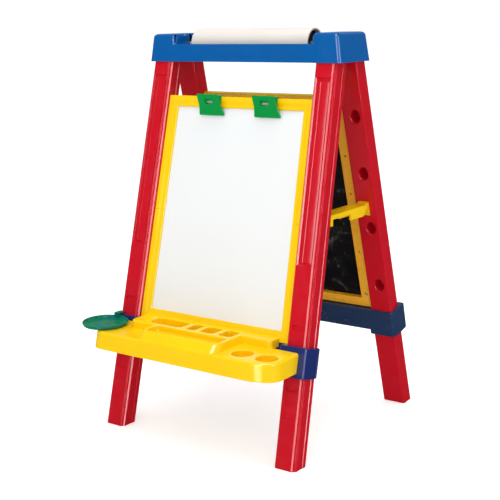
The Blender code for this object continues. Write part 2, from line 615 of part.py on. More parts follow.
# ---------------------------------------------------------------- the easel
def build():
    start_scene()
    blue = plastic("cap_blue", (0.0, 0.127, 0.429))
    red = plastic("leg_red", (0.680, 0.007, 0.021))
    navy = plastic("collar_navy", (0.015, 0.026, 0.171))
    yellow = plastic("frame_yellow", (1.0, 0.651, 0.0))
    green = plastic("clip_green", (0.002, 0.305, 0.053))
    palette_green = plastic("palette_green", (0.010, 0.283, 0.069), 0.15)
    white = plastic("whiteboard", (0.90, 0.91, 0.92), 0.12)
    black = plastic("chalkboard", (0.008, 0.010, 0.010), 0.7)
    paper = plastic("paper", (0.87, 0.80, 0.75), 0.8)
    card = plastic("card", (0.35, 0.27, 0.20), 0.85)
    dark = plastic("plug_black", (0.01, 0.01, 0.01), 0.5)
    steel = plastic("steel", (0.6, 0.6, 0.6), 0.3, 1.0)

    root = axes("easel_origin", ORIGIN_SHIFT)
    front = axes("front_frame_axes", (0, -FOOT_Y, 0), (-LEAN, 0, 0), root)
    rear_hinge = axes("rear_frame_hinge", (0, HINGE_Y, HINGE_Z), (0, 0, 0), root)
    rear = axes("rear_frame_axes", (0, FOOT_Y - HINGE_Y, -HINGE_Z), (-LEAN, 0, math.pi), rear_hinge)
    floor = box("floor_cut", (-1, -1, -0.2), (1, 1, 0), root)

    top_cap(root, blue)
    leg_pins(root, rear_hinge, steel)
    paper_roll(root, paper, card, dark, steel)
    for side, word in ((1, "right"), (-1, "left")):
        leg(f"front_leg_{word}", side, front, red, floor)
        leg(f"rear_leg_{word}", -side, rear, red, floor)
        brace(word, side, root, rear_hinge, yellow, steel)
    front_bar = crossbar("front_crossbar", front, navy)
    crossbar("rear_crossbar", rear, navy)
    board("whiteboard", front, yellow, white, steel)
    board("chalkboard", rear, yellow, black, steel, facing=-1)
    for word, x in zip(("left", "right"), CLIP_X):
        clip(word, x, front, green, steel)
    paint_tray(root, front, yellow, steel)
    palette(root, palette_green, front_bar)


build()
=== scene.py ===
"""Looks for the children's two-sided easel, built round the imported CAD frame.

Everything is in metres in the row frame: +Z up, the whiteboard side faces -Y. Each leaning frame
has its own axes: X across, Y the depth behind the legs' outer face, Z the distance up the leg.
"""
import json
import math

import bmesh
import bpy
from mathutils import Matrix, Vector


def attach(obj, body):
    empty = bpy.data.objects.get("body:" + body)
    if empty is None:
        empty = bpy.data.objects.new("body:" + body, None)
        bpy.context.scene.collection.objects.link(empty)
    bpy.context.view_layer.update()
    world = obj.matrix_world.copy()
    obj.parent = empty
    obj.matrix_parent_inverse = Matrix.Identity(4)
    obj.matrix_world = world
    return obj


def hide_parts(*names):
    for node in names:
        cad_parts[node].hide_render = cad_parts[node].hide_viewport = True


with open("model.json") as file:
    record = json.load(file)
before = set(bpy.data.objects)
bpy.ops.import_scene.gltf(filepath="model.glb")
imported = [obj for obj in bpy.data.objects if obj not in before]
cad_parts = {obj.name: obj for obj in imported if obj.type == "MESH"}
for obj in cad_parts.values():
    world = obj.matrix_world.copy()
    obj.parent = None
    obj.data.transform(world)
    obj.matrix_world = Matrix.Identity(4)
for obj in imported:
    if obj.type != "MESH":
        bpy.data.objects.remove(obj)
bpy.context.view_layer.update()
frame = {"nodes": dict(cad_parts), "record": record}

# ---------------------------------------------------------------- sizes shared with the CAD (metres)
FOOT_Y = 0.3094
HINGE_Z = 1.000
LEG_WIDTH = 0.062
LEG_DEPTH = 0.048
LEG_FOOT_X = 0.3108
STEP_DEPTH = 0.0325
LEAN = math.radians(13.77)
SPLAY = math.radians(1.19)
CAP_HALF_X = 0.305
CAP_HALF_Y = 0.0742
CAP_BOTTOM = 0.9748
CAP_TOP = 1.0477
CAP_RAIL_TOP = 1.021
CAP_BAY_X = 0.215
CAP_DRAFT = 0.0106
ROLL_Z = 1.021
ROLL_HALF = 0.185
ROLL_RADIUS = 0.038
CORE_RADIUS = 0.0350
COLLAR_LOW = 0.230
COLLAR_HIGH = 0.306
COLLAR_FRONT = 0.0165
COLLAR_SIDE = 0.008
COLLAR_BACK = 0.0065
BAR_LOW = 0.2445
BAR_FRONT = 0.0145
BOARD_LOW = 0.3064
BOARD_HIGH = 0.915
BOARD_SEAM = 0.604
BOARD_FACE = 0.012
BOARD_BACK = 0.0258
RING_BACK = 0.040
RAIL_WIDTH = 0.029
CLIP_UP = 0.898
CLIP_X = {"left": -0.083, "right": 0.095}
PEG_X = -0.296
PEG_Y = -0.2445
STRUT_Y = 0.0861
STRUT_Z = 0.596
WALL = 0.003
GAP = 0.0004

EASEL = Matrix.Translation((0.0176, 0.0343, 0.0))
FRONT = EASEL @ Matrix.Translation((0, -FOOT_Y, 0)) @ Matrix.Rotation(-LEAN, 4, "X")
REAR = (EASEL @ Matrix.Translation((0, FOOT_Y, 0)) @ Matrix.Rotation(math.pi, 4, "Z")
        @ Matrix.Rotation(-LEAN, 4, "X"))


# ---------------------------------------------------------------- materials
def make_material(name, colour, roughness, metallic=0.0, coat=0.0, specular=0.5):
    """A plain material, with its node tree and its shader."""
    material = bpy.data.materials.new(name)
    material.use_nodes = True
    tree = material.node_tree
    shader = tree.nodes["Principled BSDF"]
    shader.inputs["Base Color"].default_value = (*colour, 1.0)
    shader.inputs["Roughness"].default_value = roughness
    shader.inputs["Metallic"].default_value = metallic
    shader.inputs["Coat Weight"].default_value = coat
    shader.inputs["Coat Roughness"].default_value = 0.08
    shader.inputs["Specular IOR Level"].default_value = specular
    return material, tree, shader


def object_noise(tree, scale, detail=3.0, stretch=(1.0, 1.0, 1.0), roughness=0.5):
    """Noise fixed to the piece, with its own stretch along each axis."""
    place = tree.nodes.new("ShaderNodeTexCoord")
    move = tree.nodes.new("ShaderNodeMapping")
    move.inputs["Scale"].default_value = stretch
    noise = tree.nodes.new("ShaderNodeTexNoise")
    noise.inputs["Scale"].default_value = scale
    noise.inputs["Detail"].default_value = detail
    noise.inputs["Roughness"].default_value = roughness
    tree.links.new(place.outputs["Object"], move.inputs["Vector"])
    tree.links.new(move.outputs["Vector"], noise.inputs["Vector"])
    return noise


def ramp(tree, source, stops):
    """A colour ramp on a value; stops are (position, colour)."""
    node = tree.nodes.new("ShaderNodeValToRGB")
    elements = node.color_ramp.elements
    while len(elements) < len(stops):
        elements.new(0.5)
    for element, (position, colour) in zip(elements, stops):
        element.position = position
        element.color = (*colour, 1.0)
    tree.links.new(source, node.inputs["Fac"])
    return node.outputs["Color"]


def spread(tree, source, low, high):
    """A noise value spread between low and high."""
    node = tree.nodes.new("ShaderNodeMapRange")
    node.inputs["From Min"].default_value = 0.3
    node.inputs["From Max"].default_value = 0.7
    node.inputs["To Min"].default_value = low
    node.inputs["To Max"].default_value = high
    tree.links.new(source, node.inputs["Value"])
    return node.outputs["Result"]


def bump(tree, shader, source, strength, distance):
    """A fine relief on the surface."""
    node = tree.nodes.new("ShaderNodeBump")
    node.inputs["Strength"].default_value = strength
    node.inputs["Distance"].default_value = distance
    tree.links.new(source, node.inputs["Height"])
    tree.links.new(node.outputs["Normal"], shader.inputs["Normal"])


def shade(colour, factor):
    """A darker tone of a colour."""
    return tuple(channel * factor for channel in colour)


def moulded(name, colour, roughness=0.18, deep=0.94, grain=0.014):
    """Injection-moulded plastic: slow changes of tone, uneven sheen and a faint grain."""
    material, tree, shader = make_material(name, colour, roughness, specular=0.5)
    tone = object_noise(tree, 9.0, 2.0)
    tree.links.new(ramp(tree, tone.outputs["Fac"], [(0.3, shade(colour, deep)), (0.7, colour)]),
                   shader.inputs["Base Color"])
    sheen = object_noise(tree, 34.0, 4.0)
    tree.links.new(spread(tree, sheen.outputs["Fac"], roughness - 0.04, roughness + 0.05),
                   shader.inputs["Roughness"])
    texture = object_noise(tree, 420.0, 2.0)
    bump(tree, shader, texture.outputs["Fac"], grain, 0.0004)
    return material


def make_whiteboard():
    """Smooth white sheet with faint upright wiping marks in its sheen."""
    colour = (0.855, 0.88, 0.885)
    material, tree, shader = make_material("whiteboard", colour, 0.16, coat=0.3)
    tone = object_noise(tree, 3.0, 2.0)
    tree.links.new(ramp(tree, tone.outputs["Fac"], [(0.3, shade(colour, 0.975)), (0.7, colour)]),
                   shader.inputs["Base Color"])
    wipe = object_noise(tree, 22.0, 5.0, (1.0, 1.0, 0.18))
    tree.links.new(spread(tree, wipe.outputs["Fac"], 0.12, 0.24), shader.inputs["Roughness"])
    return material


def make_chalkboard():
    """A black writing surface with wiped chalk: broad smudges broken by finer dust."""
    material, tree, shader = make_material("chalkboard", (0.01, 0.012, 0.012), 0.6, specular=0.2)
    smudge = object_noise(tree, 13.0, 7.0, (1.0, 1.0, 1.5), 0.62)
    smudge.inputs["Distortion"].default_value = 1.4
    dust = object_noise(tree, 160.0, 4.0, (1.0, 1.0, 0.5))
    chalk = tree.nodes.new("ShaderNodeMath")
    chalk.operation = "MULTIPLY"
    tree.links.new(smudge.outputs["Fac"], chalk.inputs[0])
    tree.links.new(spread(tree, dust.outputs["Fac"], 0.85, 1.12), chalk.inputs[1])
    black, grey, pale = (0.0040, 0.0044, 0.0060), (0.009, 0.0105, 0.0115), (0.11, 0.12, 0.12)
    tree.links.new(ramp(tree, chalk.outputs["Value"], [(0.45, black), (0.57, grey), (0.74, pale)]),
                   shader.inputs["Base Color"])
    tree.links.new(spread(tree, smudge.outputs["Fac"], 0.38, 0.72), shader.inputs["Roughness"])
    bump(tree, shader, dust.outputs["Fac"], 0.12, 0.0005)
    return material


def make_paper():
    """Off-white paper with fine fibres along the roll."""
    colour = (0.735, 0.685, 0.635)
    material, tree, shader = make_material("paper", colour, 0.75, specular=0.25)
    tone = object_noise(tree, 60.0, 5.0, (0.15, 1.0, 1.0))
    tree.links.new(ramp(tree, tone.outputs["Fac"], [(0.3, shade(colour, 0.955)), (0.7, colour)]),
                   shader.inputs["Base Color"])
    fibre = object_noise(tree, 1500.0, 3.0, (0.25, 1.0, 1.0))
    bump(tree, shader, fibre.outputs["Fac"], 0.18, 0.0002)
    return material


def make_card():
    """Brown card for the roll's core."""
    colour = (0.42, 0.36, 0.30)
    material, tree, shader = make_material("card", colour, 0.85, specular=0.2)
    tone = object_noise(tree, 300.0, 4.0, (0.2, 1.0, 1.0))
    tree.links.new(ramp(tree, tone.outputs["Fac"], [(0.3, shade(colour, 0.7)), (0.7, colour)]),
                   shader.inputs["Base Color"])
    bump(tree, shader, tone.outputs["Fac"], 0.3, 0.0003)
    return material


def make_steel():
    """Dull drawn steel."""
    roughness = 0.3
    material, tree, shader = make_material("steel", (0.72, 0.68, 0.68), roughness, metallic=0.5)
    drawn = object_noise(tree, 700.0, 4.0, (0.05, 1.0, 1.0))
    tree.links.new(spread(tree, drawn.outputs["Fac"], roughness - 0.1, roughness + 0.15),
                   shader.inputs["Roughness"])
    bump(tree, shader, drawn.outputs["Fac"], 0.12, 0.0001)
    return material


def make_palette_green():
    """Green with bluish streaks across the dish: painted reflection."""
    green, dark, teal = (0.004, 0.235, 0.075), (0.003, 0.15, 0.055), (0.006, 0.15, 0.19)
    material, tree, shader = make_material("palette_green", green, 0.16, specular=0.15)
    reflection_streaks = object_noise(tree, 17.0, 3.0, (0.7, 2.6, 1.0), 0.55)
    reflection_streaks.inputs["Distortion"].default_value = 0.9
    # the dark and teal stops are painted reflection streaks in the green
    stops = [(0.40, green), (0.50, dark), (0.56, teal), (0.66, green)]
    tree.links.new(ramp(tree, reflection_streaks.outputs["Fac"], stops), shader.inputs["Base Color"])
    sheen = object_noise(tree, 60.0, 3.0)
    tree.links.new(spread(tree, sheen.outputs["Fac"], 0.1, 0.24), shader.inputs["Roughness"])
    return material


# looks for parts of the frame_yellow and collar_navy slots: the back rings take a darker, more orange
# copy of the yellow as painted shade, and the rear crossbar a paler, greyer copy of the navy as painted
# light
MATERIALS = {
    "cap_blue": moulded("cap_blue", (0.0, 0.106, 0.375)),
    "leg_red": moulded("leg_red", (0.60, 0.004, 0.016)),
    "collar_navy": moulded("collar_navy", (0.012, 0.028, 0.16), deep=0.88),
    # painted light: a paler, greyer copy of the navy for the rear crossbar, to match how light falls on
    # it
    "navy_painted_light": moulded("navy_painted_light", (0.017, 0.043, 0.115), 0.24, 0.88),
    "frame_yellow": moulded("frame_yellow", (1.0, 0.63, 0.002)),
    # painted shade: a darker, more orange copy of the yellow for the back rings, which face forward and
    # down into shade
    "ring_painted_shade": moulded("ring_painted_shade", (1.0, 0.50, 0.022), 0.28, 0.9),
    "clip_green": moulded("clip_green", (0.0, 0.345, 0.062), deep=0.9),
    "plug_black": moulded("plug_black", (0.010, 0.010, 0.011), 0.5, 0.7),
    "palette_green": make_palette_green(),
    "whiteboard": make_whiteboard(),
    "chalkboard": make_chalkboard(),
    "paper": make_paper(),
    "card": make_card(),
    "steel": make_steel(),
}


# ---------------------------------------------------------------- mesh tools
def arc(cx, cy, radius, start, end, steps):
    """Points on a circle between two angles in degrees."""
    angles = [math.radians(start + (end - start) * i / steps) for i in range(steps + 1)]
    return [(cx + radius * math.cos(a), cy + radius * math.sin(a)) for a in angles]


def rounded_rectangle(x0, x1, y0, y1, radius, steps=6):
    """An outline with its four corners rounded."""
    return (arc(x1 - radius, y1 - radius, radius, 0, 90, steps)
            + arc(x0 + radius, y1 - radius, radius, 90, 180, steps)
            + arc(x0 + radius, y0 + radius, radius, 180, 270, steps)
            + arc(x1 - radius, y0 + radius, radius, 270, 360, steps))


def fillet(corners, steps=4):
    """Rounds the corners of a polygon; each corner is (x, y, radius)."""
    rounded = []
    for index, (x, y, radius) in enumerate(corners):
        point = Vector((x, y))
        if not radius:
            rounded.append((x, y))
            continue
        before = Vector(corners[index - 1][:2]) - point
        after = Vector(corners[(index + 1) % len(corners)][:2]) - point
        reach = min(radius, before.length * 0.49, after.length * 0.49)
        start = point + before.normalized() * reach
        end = point + after.normalized() * reach
        for step in range(steps + 1):
            t = step / steps
            spot = start * (1 - t) ** 2 + point * (2 * t * (1 - t)) + end * t ** 2
            rounded.append((spot.x, spot.y))
    return rounded


def new_piece(name, bm):
    """Makes an object of a mesh in progress, with its faces turned out."""
    bmesh.ops.recalc_face_normals(bm, faces=bm.faces)
    mesh = bpy.data.meshes.new(name)
    bm.to_mesh(mesh)
    bm.free()
    piece = bpy.data.objects.new(name, mesh)
    bpy.context.scene.collection.objects.link(piece)
    return piece


def loft(name, rings, loop=False):
    """Skins rings of points, all with the same count; loop joins the last ring to the first."""
    bm = bmesh.new()
    rows = [[bm.verts.new(point) for point in ring] for ring in rings]
    pairs = list(zip(rows, rows[1:]))
    if loop:
        pairs.append((rows[-1], rows[0]))
    for low, high in pairs:
        for i in range(len(low)):
            j = (i + 1) % len(low)
            bm.faces.new((low[i], low[j], high[j], high[i]))
    if not loop:
        bm.faces.new(list(reversed(rows[0])))
        bm.faces.new(rows[-1])
    return new_piece(name, bm)


def prism(name, points, low, high, axis="Z"):
    """A flat outline pushed from low to high along one axis."""
    place = {
        "X": lambda a, b, h: (h, a, b),
        "Y": lambda a, b, h: (a, h, b),
        "Z": lambda a, b, h: (a, b, h),
    }[axis]
    return loft(name, [[place(a, b, h) for a, b in points] for h in (low, high)])


def block(name, low, high):
    """A box between two corners."""
    corners = [(low[0], low[1]), (high[0], low[1]), (high[0], high[1]), (low[0], high[1])]
    return prism(name, corners, low[2], high[2])


def rod(name, radius, start, end, sides=32):
    """A round bar between two points."""
    start, end = Vector(start), Vector(end)
    turn = (end - start).to_track_quat("Z", "Y").to_matrix()
    rings = []
    for centre in (start, end):
        rings.append([centre + turn @ Vector((radius * math.cos(a), radius * math.sin(a), 0))
                      for a in (2 * math.pi * i / sides for i in range(sides))])
    return loft(name, rings)


def lathe(name, profile, centre, axis="Z", sides=64, closed=False):
    """Turns a profile of (radius, height) round an axis; radius 0 ends are poles."""
    bm = bmesh.new()
    turn = {"Z": Matrix.Identity(3), "X": Matrix.Rotation(math.pi / 2, 3, "Y"),
            "Y": Matrix.Rotation(-math.pi / 2, 3, "X")}[axis]
    rows = []
    for radius, height in profile:
        row = []
        for i in range(sides if radius > 0 else 1):
            a = 2 * math.pi * i / sides
            spot = Vector((radius * math.cos(a), radius * math.sin(a), height))
            row.append(bm.verts.new(Vector(centre) + turn @ spot))
        rows.append(row)
    pairs = list(zip(rows, rows[1:]))
    if closed:
        pairs.append((rows[-1], rows[0]))
    for low, high in pairs:
        for i in range(sides):
            j = (i + 1) % sides
            if len(low) == 1:
                bm.faces.new((low[0], high[j], high[i]))
            elif len(high) == 1:
                bm.faces.new((low[i], low[j], high[0]))
            else:
                bm.faces.new((low[i], low[j], high[j], high[i]))
    return new_piece(name, bm)


def settle(piece):
    """Makes a piece's modifiers part of its mesh."""
    graph = bpy.context.evaluated_depsgraph_get()
    mesh = bpy.data.meshes.new_from_object(piece.evaluated_get(graph))
    piece.modifiers.clear()
    piece.data = mesh
    return piece


def combine(piece, tools, operation):
    """Joins or cuts a piece with others, which are used up."""
    for tool in tools:
        step = piece.modifiers.new("join", "BOOLEAN")
        step.operation = operation
        step.solver = "EXACT"
        step.object = tool
    settle(piece)
    for tool in tools:
        bpy.data.objects.remove(tool, do_unlink=True)
    bm = bmesh.new()
    bm.from_mesh(piece.data)
    bmesh.ops.remove_doubles(bm, verts=bm.verts, dist=0.00002)
    bmesh.ops.dissolve_limit(bm, angle_limit=math.radians(0.4), verts=bm.verts, edges=bm.edges)
    bm.to_mesh(piece.data)
    bm.free()
    return piece


def cut(piece, *tools):
    """Cuts the tools out of a piece."""
    return combine(piece, tools, "DIFFERENCE")


def join(piece, *tools):
    """Joins the tools to a piece."""
    return combine(piece, tools, "UNION")


def soften(piece, width, segments, angle):
    """Rounds the edges sharper than an angle."""
    bm = bmesh.new()
    bm.from_mesh(piece.data)
    sharp = [e for e in bm.edges if len(e.link_faces) == 2
             and e.calc_face_angle(0) > math.radians(angle)]
    bmesh.ops.bevel(bm, geom=sharp, offset=width, offset_type="OFFSET", segments=segments,
                    profile=0.5, affect="EDGES", clamp_overlap=True)
    bm.to_mesh(piece.data)
    bm.free()
    return piece


def polish(piece, angle):
    """Smooth shading with flat faces kept flat."""
    piece.data.shade_smooth()
    piece.data.set_sharp_from_angle(angle=math.radians(angle))
    level = piece.modifiers.new("flat_faces", "WEIGHTED_NORMAL")
    level.keep_sharp = True
    return piece


def fit(piece, matrix, body, slot, *nodes, angle=40, look=None):
    """Moves a finished piece to its place, gives it its material and ties it to its body. look
    names another material than the slot's own."""
    piece.data.transform(matrix)
    piece.data.materials.clear()
    piece.data.materials.append(MATERIALS[look or slot])
    polish(piece, angle)
    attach(piece, body)
    if nodes:
        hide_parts(*nodes)
    return piece


# ---------------------------------------------------------------- legs
def leg_section(sunk, raised, inner_step, side):
    """Cross-section of a leg seen from its front, X from its left edge. sunk (0 to 1) is how far
    the long recess in its face has opened, raised how far the band stands up inside it. The back
    of the leg is wider by 2 mm on its outer side and by inner_step on its inner side."""
    w, d = LEG_WIDTH, LEG_DEPTH
    right = 0.002 if side > 0 else inner_step
    left = 0.002 if side < 0 else inner_step
    floor = 0.0033 * sunk

    def band(depth):
        return floor + (depth * sunk - floor) * raised

    slope = [(0.0228 + 0.0232 * i / 8, band(0.0010 + 0.0023 * (i / 8) ** 2.5), 0.0)
             for i in range(1, 9)]
    slot = floor + 0.0019 * sunk * raised
    corners = [
        (0.0, 0.0048, 0.0012), (0.0048, 0.0, 0.0006),
        (0.0056, 0.0, 0.0003), (0.0058 + floor * 0.93, floor, 0.0004), (0.0198, floor, 0.0004),
        (0.0212, band(0.0004), 0.0003), (0.0228, band(0.0010), 0.0003), *slope,
        (0.0464, slot, 0.0), (0.0488, slot, 0.0003), (0.0504, 0.0, 0.0003),
        (0.0548, 0.0015, 0.0004), (0.0570, 0.0052, 0.0004), (0.0610, 0.0070, 0.0004),
        (w, 0.0092, 0.0010),
        (w, STEP_DEPTH - right, 0.0004), (w + right, STEP_DEPTH, 0.0004),
        (w + right, d - 0.0030, 0.0022), (w + right - 0.0030, d, 0.0022),
        (-left + 0.0030, d, 0.0022), (-left, d - 0.0030, 0.0022),
        (-left, STEP_DEPTH, 0.0004), (0.0, STEP_DEPTH - left, 0.0004),
    ]
    return fillet(corners, 3)


def leg(name, side, matrix, body):
    """One hollow moulded leg: a fluted edge, a long recess with a raised band, notches near the
    foot and four deep holes in its back."""
    base = (matrix @ Matrix.Translation((side * LEG_FOOT_X, 0, 0))
            @ Matrix.Rotation(-side * SPLAY, 4, "Y")
            @ Matrix.Translation((-LEG_WIDTH if side > 0 else 0.0, 0, 0)))
    up = base.to_3x3() @ Vector((0, 0, 1))
    top = (HINGE_Z + LEG_DEPTH / 2 * math.sin(LEAN)) / math.cos(LEAN)
    # distance up the leg, recess open, band raised, inner side stepped
    stations = [
        (0.0, 0, 0, 1), (0.227, 0, 0, 1), (0.2285, 0, 0, 0),
        (0.5040, 0, 0, 0), (0.5070, 1, 0, 0), (0.5110, 1, 0, 0), (0.5130, 1, 1, 0),
        (0.9170, 1, 1, 0), (0.9185, 1, 1, 1), (0.9570, 1, 1, 1),
        (0.9585, 1, 0, 1), (0.9670, 1, 0, 1), (0.9695, 0, 0, 1), (top, 0, 0, 1),
    ]
    rings = []
    for height, sunk, raised, inner in stations:
        section = leg_section(sunk, raised, 0.0015 * inner, side)
        ring = [Vector((x, y, height)) for x, y in section]
        if height == 0.0:  # the foot ends level with the ground
            ring = [p - Vector((0, 0, (base @ p).z / up.z)) for p in ring]
        rings.append(ring)
    last = leg_section(0, 0, 0.0015, side)
    radius = LEG_DEPTH / 2
    for turn in (20, 40, 60, 76):  # rounded over the hinge pin
        squeeze = math.cos(math.radians(turn))
        height = top + radius * 0.96 * math.sin(math.radians(turn))
        rings.append([Vector((x, radius + (y - radius) * squeeze, height)) for x, y in last])
    outer = loft(name, rings)
    inside = rounded_rectangle(WALL, LEG_WIDTH - WALL, WALL + 0.004, LEG_DEPTH - WALL, 0.003, 3)
    cut(outer, prism("hollow", inside, -0.05, top - 0.045))
    tools, cups = [], []
    dish = [(0.0, 0.004), (0.0172, 0.004), (0.0166, -0.0002), (0.0146, -0.0013), (0.0134, -0.0028),
            (0.0128, -0.0050), (0.0122, -0.0300), (0.0110, -0.0315), (0.0, -0.0320)]
    for height in (0.3856, 0.556, 0.7126, 0.8696):
        x = LEG_WIDTH / 2 + side * 0.006
        cup = rod("cup", 0.0150, (0, LEG_DEPTH - WALL / 2, 0), (0, LEG_DEPTH - 0.0350, 0), 40)
        hole = lathe("hole", dish, (0, LEG_DEPTH, 0), "Y", 40)
        tall = Matrix.Translation((x, 0, height)) @ Matrix.Diagonal((1.0, 1.0, 1.3, 1.0))
        for tool in (cup, hole):
            tool.data.transform(tall)
        cups.append(cup)
        tools.append(hole)
    join(outer, *cups)
    for height, deep in ((0.201, 0.0030), (0.167, 0.0014), (0.133, 0.0012), (0.352, 0.0026)):
        shape = [(-0.002, height - 0.0065), (deep, height - 0.0058), (deep, height + 0.0042),
                 (-0.002, height + 0.0075)]
        tools.append(prism("notch", shape, 0.014, 0.048, "X"))
    cut(outer, *tools)
    return fit(outer, base, body, "leg_red", name, angle=26)


for side, word in ((1, "right"), (-1, "left")):
    leg(f"front_leg_{word}", side, FRONT, "root").name = f"moulded_front_leg_{word}"
    leg(f"rear_leg_{word}", -side, REAR, "rear_frame").name = f"moulded_rear_leg_{word}"


# ---------------------------------------------------------------- top cap
def cap_ring(half_x, half_y, z, corner, offset_x=0.0):
    """A rounded rectangle at one height."""
    outline = rounded_rectangle(offset_x - half_x, offset_x + half_x, -half_y, half_y, corner, 8)
    return [Vector((x, y, z)) for x, y in outline]


def soft_box(name, x_low, x_high, half_y, z_low, z_high, draft_x, draft_y, corner, crown):
    """A drafted box with rounded corners and a rounded top edge; draft_x is for each end."""
    rings = []
    for part in range(8):
        if part < 2:
            z = z_low + (z_high - crown - z_low) * part
            inset = 0.0
        else:
            angle = math.radians(90 * (part - 1) / 6)
            z = z_high - crown + crown * math.sin(angle)
            inset = crown * (1 - math.cos(angle))
        rise = (z - z_low) / (z_high - z_low)
        left = x_low + draft_x[0] * rise + inset
        right = x_high - draft_x[1] * rise - inset
        deep = half_y - draft_y * rise - inset
        rings.append(cap_ring((right - left) / 2, deep, z, corner, (right + left) / 2))
    return loft(name, rings)


def top_cap():
    """Two end blocks over the legs and a lower bay between them for the paper roll."""
    rise = (CAP_RAIL_TOP - CAP_BOTTOM) / (CAP_TOP - CAP_BOTTOM)
    seam = 0.0003  # keeps the faces of the rail and the end blocks apart
    rail = soft_box("moulded_top_cap", -CAP_HALF_X + 0.03, CAP_HALF_X - 0.03, CAP_HALF_Y - seam,
                    CAP_BOTTOM + seam, CAP_RAIL_TOP, (0.0, 0.0), CAP_DRAFT / 2 * rise, 0.004, 0.0022)
    for side in (1, -1):
        xs = sorted((side * CAP_BAY_X, side * CAP_HALF_X))
        draft = (0.0015, CAP_DRAFT) if side > 0 else (CAP_DRAFT, 0.0015)
        end = soft_box("end", *xs, CAP_HALF_Y, CAP_BOTTOM, CAP_TOP, draft, CAP_DRAFT / 2, 0.012,
                       0.0085)
        join(rail, end)
    bay_half = CAP_BAY_X - 0.0002
    bay = rounded_rectangle(-bay_half, bay_half, CAP_BOTTOM + WALL, 1.2, 0.006, 5)
    cut(rail, prism("bay", bay, -CAP_HALF_Y + 0.006, CAP_HALF_Y - 0.006, "Y"))
    slot_half, slot_top = 0.0054, CAP_TOP + 0.008
    slot = [(slot_half, slot_top), (-slot_half, slot_top)] + arc(0, ROLL_Z, slot_half, 180, 360, 12)
    for side in (1, -1):
        xs = sorted((side * (CAP_BAY_X + WALL), side * (CAP_HALF_X - CAP_DRAFT - WALL)))
        cut(rail, block("socket", (xs[0], -0.0662, CAP_BOTTOM - 0.01), (xs[1], 0.0662, CAP_TOP - WALL)))
        xs = sorted((side * (CAP_BAY_X - 0.01), side * (CAP_BAY_X + 0.007)))
        cut(rail, prism("slot", slot, *xs, "X"))
    soften(rail, 0.0011, 3, 42)
    return fit(rail, EASEL, "root", "cap_blue", "top_cap")


top_cap()


# ---------------------------------------------------------------- paper roll
def paper_roll():
    """The wound paper, with the edges of its turns showing at the ends."""
    axis = EASEL @ Matrix.Translation((0, 0, ROLL_Z))
    half, outer, inner = ROLL_HALF, ROLL_RADIUS, CORE_RADIUS + 0.0003
    turns = 6
    right = [(inner + (outer - inner) * i / turns, half - (0.0 if i % 2 else 0.0003))
             for i in range(turns)]
    right += [(outer - 0.0004, half - 0.0001), (outer, half - 0.0007)]
    profile = right + [(r, -h) for r, h in reversed(right)]
    roll = lathe("wound_paper_roll", profile, (0, 0, 0), "X", 96, closed=True)
    fit(roll, axis, "roll", "paper", "paper_roll", angle=50)


paper_roll()


# ---------------------------------------------------------------- crossbars and collars
def crossbar(name, node, matrix, body):
    """A channel between two legs, with a collar round each of them."""
    inner_x = LEG_FOOT_X - COLLAR_LOW * math.tan(SPLAY) - LEG_WIDTH
    outer_x = inner_x + LEG_WIDTH
    back = LEG_DEPTH + COLLAR_BACK
    bar = block(name, (-inner_x - 0.004, BAR_FRONT, BAR_LOW), (inner_x + 0.004, back, COLLAR_HIGH))
    collars = []
    for side in (1, -1):
        a, b = inner_x - COLLAR_SIDE, outer_x + COLLAR_SIDE
        front = -COLLAR_FRONT
        shape = [(a, front, 0.004), (b - 0.0030, front, 0.0025), (b, front + 0.0045, 0.0030),
                 (b, back - 0.0170, 0.005), (b - 0.0030, back - 0.0095, 0.0015),
                 (b - 0.0034, back - 0.0048, 0.0010), (b - 0.0085, back, 0.003), (a, back, 0.003)]
        outline = [(side * x, y) for x, y in fillet(shape, 5)]
        rings = []
        crown = 0.0026
        centre = Vector((side * (a + b) / 2, (front + back) / 2))
        half = Vector(((b - a) / 2, (back - front) / 2))
        for z, inset in ((COLLAR_LOW, crown), (COLLAR_LOW + 0.0008, 0.0008), (COLLAR_LOW + crown, 0.0),
                         (COLLAR_HIGH - crown, 0.0), (COLLAR_HIGH - 0.0008, 0.0008),
                         (COLLAR_HIGH, crown)):
            rings.append([Vector((centre.x + (x - centre.x) * (1 - inset / half.x),
                                  centre.y + (y - centre.y) * (1 - inset / half.y), z))
                          for x, y in outline])
        collars.append(loft("collar", rings))
    join(bar, *collars)
    tools = [block("channel", (-inner_x + 0.012, BAR_FRONT + WALL, BAR_LOW - 0.01),
                   (inner_x - 0.012, back - WALL, COLLAR_HIGH - WALL))]
    for side in (1, -1):
        base = Matrix.Translation((side * LEG_FOOT_X, 0, 0)) @ Matrix.Rotation(-side * SPLAY, 4, "Y")
        m = GAP
        section = fillet([(m, 0.005 - m, 0.001), (m, STEP_DEPTH - 0.002, 0),
                          (m + 0.002, STEP_DEPTH - m, 0), (m + 0.002, LEG_DEPTH + m, 0.002),
                          (-LEG_WIDTH - m, LEG_DEPTH + m, 0.002), (-LEG_WIDTH - m, 0.005 - m, 0.001),
                          (-LEG_WIDTH + 0.005, -m, 0.001), (-0.005, -m, 0.001)], 2)
        socket = prism("socket", [(side * x, y) for x, y in section],
                       COLLAR_LOW - 0.05, COLLAR_HIGH + 0.05)
        socket.data.transform(base)
        tools.append(socket)
    if body == "root":
        ends = [FRONT.inverted() @ EASEL @ Vector((PEG_X, PEG_Y, z)) for z in (0.288, 0.33)]
        tools.append(rod("peg_hole", 0.0037, *ends, 20))
    cut(bar, *tools)
    soften(bar, 0.0011, 3, 50)
    # the rear crossbar's look is painted light: a paler, greyer navy
    fit(bar, matrix, body, "collar_navy", node, look=None if body == "root" else "navy_painted_light")


crossbar("moulded_front_crossbar", "front_crossbar", FRONT, "root")
crossbar("moulded_rear_crossbar", "rear_crossbar", REAR, "rear_frame")


# ---------------------------------------------------------------- boards
def stile_x(up, offset):
    """Half the width of a board at a distance up, less an offset from its outer edge."""
    return LEG_FOOT_X - up * math.tan(SPLAY) - LEG_WIDTH - GAP - offset


